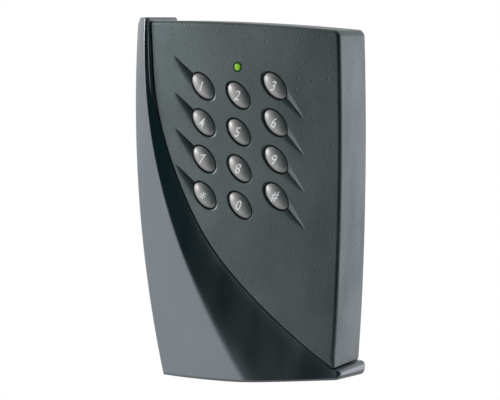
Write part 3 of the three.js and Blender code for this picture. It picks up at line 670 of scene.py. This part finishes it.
def cove_height(x, z):
    """The hollow slope from the ridge down to the keypad face."""
    face = face_height(min(x, side_x(z)))
    ridge, foot = ridge_x(z), foot_x(z)
    if x >= foot:
        return face
    share = (x - ridge) / (foot - ridge)
    fall = (1 - share) ** COVE_POWER
    if share > 0:
        first = FIRST_STEP * ease(share, 0, FIRST_STEP_TO)
        last = LAST_STEP * ease(share, LAST_STEP_FROM, 1)
        fall = mix(fall, 1 - first - last, ease(z, STEPPED_FROM, STEPPED_ABOVE))
    return face + (ridge_height(z) - face) * fall


def front_height(x, z):
    return wing_height(x, z) if x <= ridge_x(z) else cove_height(x, z)


LEAN = 2.2
LEAN_BELOW = 38
LIP_SHARE = 0.8
LIP_FROM_X, LIP_FULL_X = 25, 45
LIP_FROM_Z, LIP_FULL_Z = 65.5, 69


def lean(x, z, h):
    """How far the bottom wall's lean lifts a point of height h. The lip at the
    lower right leans less."""
    share = ease(-z, LEAN_BELOW, HALF_HEIGHT)
    thick = ease(x, LIP_FROM_X, LIP_FULL_X) * ease(-z, LIP_FROM_Z, LIP_FULL_Z)
    return LEAN * share * (1 - LIP_SHARE * thick) * (1 - h / front_height(x, z))


def edge_drop(depth, radius):
    """How far a rounded edge lies under the plain surface, at a depth in."""
    short = radius - min(max(depth, 0), radius)
    return radius - math.sqrt(radius**2 - short**2)


def close_stops(radius, steps=10):
    """Distances from an edge that put even steps round its arc."""
    return [radius * (1 - math.cos(math.pi / 2 * i / steps)) for i in range(steps + 1)]


EDGES_AT_MOST = 0.8


def spread(low, high, near_low, count, near_high):
    """Places across a span: close over its edges, and even in between."""
    reach = near_low[-1] + near_high[-1]
    squeeze = min(1, EDGES_AT_MOST * (high - low) / reach) if reach else 1
    first = [low + d * squeeze for d in near_low]
    last = [high - d * squeeze for d in reversed(near_high)]
    between = [mix(first[-1], last[0], i / count) for i in range(1, count)]
    return first + between + last


MERGED = 0.0005 * MM


def closed(made, rim_made):
    """Fills the rear of a slab in millimetres, and turns it into metres."""
    edges = [e for e in rim_made if isinstance(e, bmesh.types.BMEdge)]
    bmesh.ops.contextual_create(made, geom=edges)
    bmesh.ops.scale(made, verts=made.verts, vec=(MM, MM, MM))
    bmesh.ops.remove_doubles(made, verts=made.verts, dist=MERGED)
    bmesh.ops.recalc_face_normals(made, faces=made.faces)


def skin(columns, rows, place, rear):
    """A closed slab: place(i, j) gives x, z and h of its front's points, and
    rear is the height of its flat rear."""
    made = bmesh.new()
    bmesh.ops.create_grid(made, x_segments=columns, y_segments=rows, size=0.5)
    plain_z = made.verts.layers.float.new("plain_z")
    for v in made.verts:
        x, z, h = place(round((v.co.x + 0.5) * columns), round((v.co.y + 0.5) * rows))
        v[plain_z] = z
        v.co = Vector((x, -h, z + lean(x, z, h)))
    rim = [e for e in made.edges if e.is_boundary]
    grown = bmesh.ops.extrude_edge_only(made, edges=rim)["geom"]
    for v in grown:
        if isinstance(v, bmesh.types.BMVert):
            v.co.z = v[plain_z] + lean(v.co.x, v[plain_z], rear)
            v.co.y = -rear
    closed(made, grown)
    return made


def cut(obj, cutters):
    """Takes each cutter out of a piece, and removes the cutter."""
    for tool in cutters:
        knife = obj.modifiers.new("cut", "BOOLEAN")
        knife.operation = "DIFFERENCE"
        knife.solver = "MANIFOLD"
        knife.object = tool
        bpy.context.view_layer.update()
        evaluated = obj.evaluated_get(bpy.context.evaluated_depsgraph_get())
        done = bpy.data.meshes.new_from_object(evaluated)
        obj.modifiers.clear()
        old = obj.data
        obj.data = done
        bpy.data.meshes.remove(old)
        bpy.data.objects.remove(tool)


HOLLOW_SPARE = 0.35
HOLLOW_REAR = -1


def hollow_skin():
    """The room inside both covers, which runs out through their open rear."""
    columns, rows = 40, 44

    def place(i, j):
        rough_z = mix(-HALF_HEIGHT, HALF_HEIGHT, j / rows)
        side = side_x(rough_z) - WALL
        rough_x = mix(-side, side, i / columns)
        z = mix(bottom_z(rough_x) + WALL, top_z(rough_x) - WALL, j / rows)
        side = side_x(z) - WALL
        x = mix(-side, side, i / columns)
        return x, z, min(wing_height(x, z), cove_height(x, z)) - WALL - HOLLOW_SPARE

    return piece(skin(columns, rows, place, HOLLOW_REAR), "hollow", plate_black)


EDGE = 1.4
CORNER = 2.6
SEAM_EDGE = 0.3
# The cover ends at the bottom where it has narrowed to this width.
END_WIDTH = 0.5
HALVINGS = 40
low, high = -HALF_HEIGHT, 0.0
for _ in range(HALVINGS):
    halfway = (low + high) / 2
    if foot_x(halfway) + SEAM > side_x(halfway) - END_WIDTH:
        low = halfway
    else:
        high = halfway
COVER_END = high

# The cover's pits are sunk in the bump and darkened with painted shade.
cover_texture = mottled(
    "cover_texture", (0.115, 0.139, 0.144), (0.168, 0.2, 0.207), 26, 0.42, 0.4, 0.03,
    metallic=0.88, pit_spacing=3.4,
)
seam_stops = close_stops(SEAM_EDGE, 4)
edge_stops = close_stops(EDGE)
CORNER_STOPS = edge_stops + [1.7, 2.1, CORNER]


def cover_across(z):
    return spread(foot_x(z) + SEAM, side_x(z), seam_stops, 18, CORNER_STOPS)


def cover_along(top):
    return spread(COVER_END, top, [0], 26, CORNER_STOPS)


COVER_COLUMNS = len(cover_across(0)) - 1
COVER_ROWS = len(cover_along(HALF_HEIGHT)) - 1


def cover_place(i, j):
    rough_x = cover_across(cover_along(HALF_HEIGHT)[j])[i]
    top = top_z(rough_x)
    z = cover_along(top)[j]
    left_x, right_x = foot_x(z) + SEAM, side_x(z)
    x = cover_across(z)[i]
    from_right, from_top = right_x - x, top - z
    drop = max(
        edge_drop(from_right, EDGE),
        edge_drop(from_top, EDGE),
        edge_drop(x - left_x, SEAM_EDGE),
    )
    if from_right < CORNER and from_top < CORNER:
        a, b = CORNER - from_right, CORNER - from_top
        squeeze = max(a, b) / math.hypot(a, b)
        x = right_x - CORNER + a * squeeze
        z += from_top - CORNER + b * squeeze
    return x, z, face_height(x) - drop


keypad_cover = piece(
    skin(COVER_COLUMNS, COVER_ROWS, cover_place, OFF_WALL), "keypad_shell", cover_texture, 9
)

KEY_GAP = 0.45
LENS_HOLE = 2.0
CUTTER_REAR = 12
CUTTER_PROUD = 2


def key_hole(x, z):
    """A cutter for a key's hole, which flares where it meets the face."""
    face = face_height(x)
    out = face + CUTTER_PROUD
    stops = [(0, CUTTER_REAR), (1, CUTTER_REAR), (1, face - 0.5), (1.02, face - 0.22)]
    stops += [(1.06, face - 0.04), (1.16, face + 0.2), (1.16, out), (0, out)]
    made = lathe(stops, 72)
    onto_key(made, x, z, KEY_GAP)
    return piece(made, "hole", cover_texture)


def lens_hole():
    """A round cutter for the light guide's hole."""
    face = face_height(LENS_X)
    flare = LENS_HOLE + 0.12
    out = face + CUTTER_PROUD
    stops = [(0, CUTTER_REAR), (LENS_HOLE, CUTTER_REAR), (LENS_HOLE, face - 0.1)]
    stops += [(flare, face + 0.05), (flare, out), (0, out)]
    made = lathe(stops, 48)
    bmesh.ops.translate(made, verts=made.verts, vec=(LENS_X * MM, 0, LENS_Z * MM))
    return piece(made, "hole", cover_texture)


LEAF_LENGTH = 18.6
LEAF_LOW_WIDTH = 6.0
LEAF_LEAST_WIDTH = 0.15
LEAF_ROOT_VALLEY = 0.5
LEAF_HIGH_FALL = 1.05
LEAF_BLUNT = 1.35
LEAF_LIFT = 0.03
LEAF_ACROSS, LEAF_DOWN = 20, 28
LEAF_PROUD = 26


def leaf(side, x, z):
    """A cutter for the hollow beside an outer key: it starts at the key, runs
    outwards and down to a tip, and is deepest along a valley."""
    if side < 0:
        tip_valley, high_width, taper_power = -1.0, 0.7, 0.65
        leaf_depth, low_fall = 1.9, 2.2
    else:
        tip_valley, high_width, taper_power = 0.0, 3.4, 0.75
        leaf_depth, low_fall = 1.2, 3.0
    made = bmesh.new()
    bmesh.ops.create_grid(made, x_segments=LEAF_ACROSS, y_segments=LEAF_DOWN, size=0.5)
    for v in made.verts:
        u, w = 2 * v.co.x, v.co.y + 0.5
        valley = mix(LEAF_ROOT_VALLEY, tip_valley, w)
        reach = LEAF_LOW_WIDTH if u < 0 else high_width
        taper = (1 - w) ** taper_power
        across = (valley + u * (reach * taper + LEAF_LEAST_WIDTH)) * math.sqrt(0.5)
        along = w * LEAF_LENGTH * side * math.sqrt(0.5)
        px, pz = x + across + along, z + across - along
        slope = (1 - abs(u)) ** (low_fall if u < 0 else LEAF_HIGH_FALL)
        deep = taper if side > 0 else min(1, LEAF_BLUNT * (1 - w))
        depth = leaf_depth * deep * slope
        v.co = Vector((px, -LEAF_LIFT - face_height(px) + depth, pz))
    rim = [e for e in made.edges if e.is_boundary]
    grown = bmesh.ops.extrude_edge_only(made, edges=rim)["geom"]
    for v in grown:
        if isinstance(v, bmesh.types.BMVert):
            v.co.y = -LEAF_PROUD
    closed(made, grown)
    return piece(made, "leaf", cover_texture, 20)


cutters = [hollow_skin()]
cutters += [key_hole(x, z) for node, mark, side, x, z in keys]
cutters += [leaf(side, x, z) for node, mark, side, x, z in keys if side]
cutters.append(lens_hole())
cut(keypad_cover, cutters)
keypad_cover.data.set_sharp_from_angle(angle=math.radians(9))
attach(keypad_cover, "housing")
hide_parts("keypad_cover")

# ---- Wing cover ---------------------------------------------------------
# The left-hand cover: slate ABS, smooth and semi-gloss. Its belly rises to a
# ridge, and a cove falls from there to the keypad cover. It wraps the bottom
# and ends at the lower right in a rolled lip.
LIP_PROUD = 3.2
RIM_PROUD = 1.4
wing_gloss = mottled(
    "wing_gloss", (0.185, 0.208, 0.228), (0.205, 0.232, 0.252), 35, 0.5, 0.22, 0.0015,
    metallic=0.95,
)
WING_EDGE = 1.4
WING_END = 1.2
WING_CORNER = 3.0
RIM_CORNER = 1.3
LIP_CORNER = 2.0
LIP_EDGE = 1.5
LIP_ROUND = 1.8
LIP_TOP = -65.0
WING_LEFT_STOPS = close_stops(WING_EDGE) + [1.8, 2.3, WING_CORNER]
WING_END_STOPS = close_stops(WING_END, 8) + [1.5, 1.9, 2.4, WING_CORNER]
WING_SEAM_EDGE = 0.35
WING_SEAM_STOPS = close_stops(WING_SEAM_EDGE, 5) + [0.5, 0.7, 0.95, 1.25, 1.6, 2.2]
RIDGE_STOPS = [0, 0.25, 0.5, 0.8, 1.2, 1.8, 2.6]
LIP_STOPS = [LIP_ROUND * (1 - math.cos(math.radians(a))) for a in range(0, 91, 10)]


LIP_START = 0.2


def wing_right(z):
    """The seam's line, which steps out in a round corner to the lip's end."""
    seam, lip = foot_x(z) - SEAM / 4, side_x(z) + LIP_PROUD
    below = min(max((LIP_TOP - z) / LIP_ROUND, 0), 1)
    stepped = side_x(z) + LIP_START + (LIP_PROUD - LIP_START) * math.sqrt(1 - (1 - below) ** 2)
    return min(max(seam, stepped if below > 0 else seam), lip)


def wing_across(z):
    ridge = ridge_x(z)
    places = spread(-side_x(z), ridge, WING_LEFT_STOPS, 16, RIDGE_STOPS)
    return places + spread(ridge, wing_right(z), RIDGE_STOPS, 26, WING_SEAM_STOPS)[1:]


def wing_along(low, high):
    lower = spread(low, LIP_TOP, WING_END_STOPS, 3, LIP_STOPS)
    return lower + spread(LIP_TOP, high, [0, 0.3, 0.8], 106, WING_END_STOPS)[1:]


WING_COLUMNS = len(wing_across(0)) - 1
WING_ROWS = len(wing_along(-HALF_HEIGHT, HALF_HEIGHT)) - 1


def turned_corner(depth_x, depth_z, radius):
    """Moves a point near a square corner onto a round one."""
    if depth_x >= radius or depth_z >= radius:
        return depth_x, depth_z
    a, b = radius - depth_x, radius - depth_z
    squeeze = max(a, b) / math.hypot(a, b)
    return radius - a * squeeze, radius - b * squeeze


SOFT_BELOW, SOFT_ABOVE = 0.5, 0.2
SOFT_REACH, SOFT_SPREAD = 2.5, 9


def soft_front(x, z):
    """The front surface with the ridge rounded: crisp above, soft below."""
    crown, cove = wing_height(x, z), cove_height(x, z)
    soft = mix(SOFT_BELOW, SOFT_ABOVE, ease(z, -65, 40))
    reach = SOFT_REACH + SOFT_SPREAD * soft
    away = min(abs(x - ridge_x(z)) / reach, 1)
    sharp = min(crown, cove)
    rounded = (crown + cove) / 2 - math.hypot((crown - cove) / 2, soft)
    return mix(rounded, sharp, away**2)


def wing_place(i, j):
    rough_x = wing_across(wing_along(-HALF_HEIGHT, HALF_HEIGHT)[j])[i]
    bottom, top = bottom_z(rough_x), top_z(rough_x) + RIM_PROUD
    z = wing_along(bottom, top)[j]
    x = wing_across(z)[i]
    left, seam = -side_x(z), wing_right(z)
    from_left, from_right = x - left, seam - x
    from_top, from_bottom = top - z, z - bottom
    lip = ease(seam, side_x(z) - 3, side_x(z) + 1)
    drop = max(
        edge_drop(from_left, WING_EDGE),
        edge_drop(from_top, WING_END),
        edge_drop(from_bottom, WING_END),
        edge_drop(from_right, mix(WING_SEAM_EDGE, LIP_EDGE, lip)),
    )
    h = soft_front(x, z) - drop
    if from_top < WING_CORNER and from_left < WING_CORNER:
        a, b = turned_corner(from_left, from_top, WING_CORNER)
        x, z = left + a, top - b
    elif from_top < RIM_CORNER and from_right < RIM_CORNER:
        a, b = turned_corner(from_right, from_top, RIM_CORNER)
        x, z = seam - a, top - b
    elif from_bottom < LIP_CORNER and from_right < LIP_CORNER:
        a, b = turned_corner(from_right, from_bottom, LIP_CORNER)
        x, z = seam - a, bottom + b
    return x, z, h


wing_cover = piece(
    skin(WING_COLUMNS, WING_ROWS, wing_place, OFF_WALL), "wing_shell", wing_gloss, 25
)
cut(wing_cover, [hollow_skin()])
wing_cover.data.set_sharp_from_angle(angle=math.radians(25))
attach(wing_cover, "housing")
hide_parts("wing_cover")
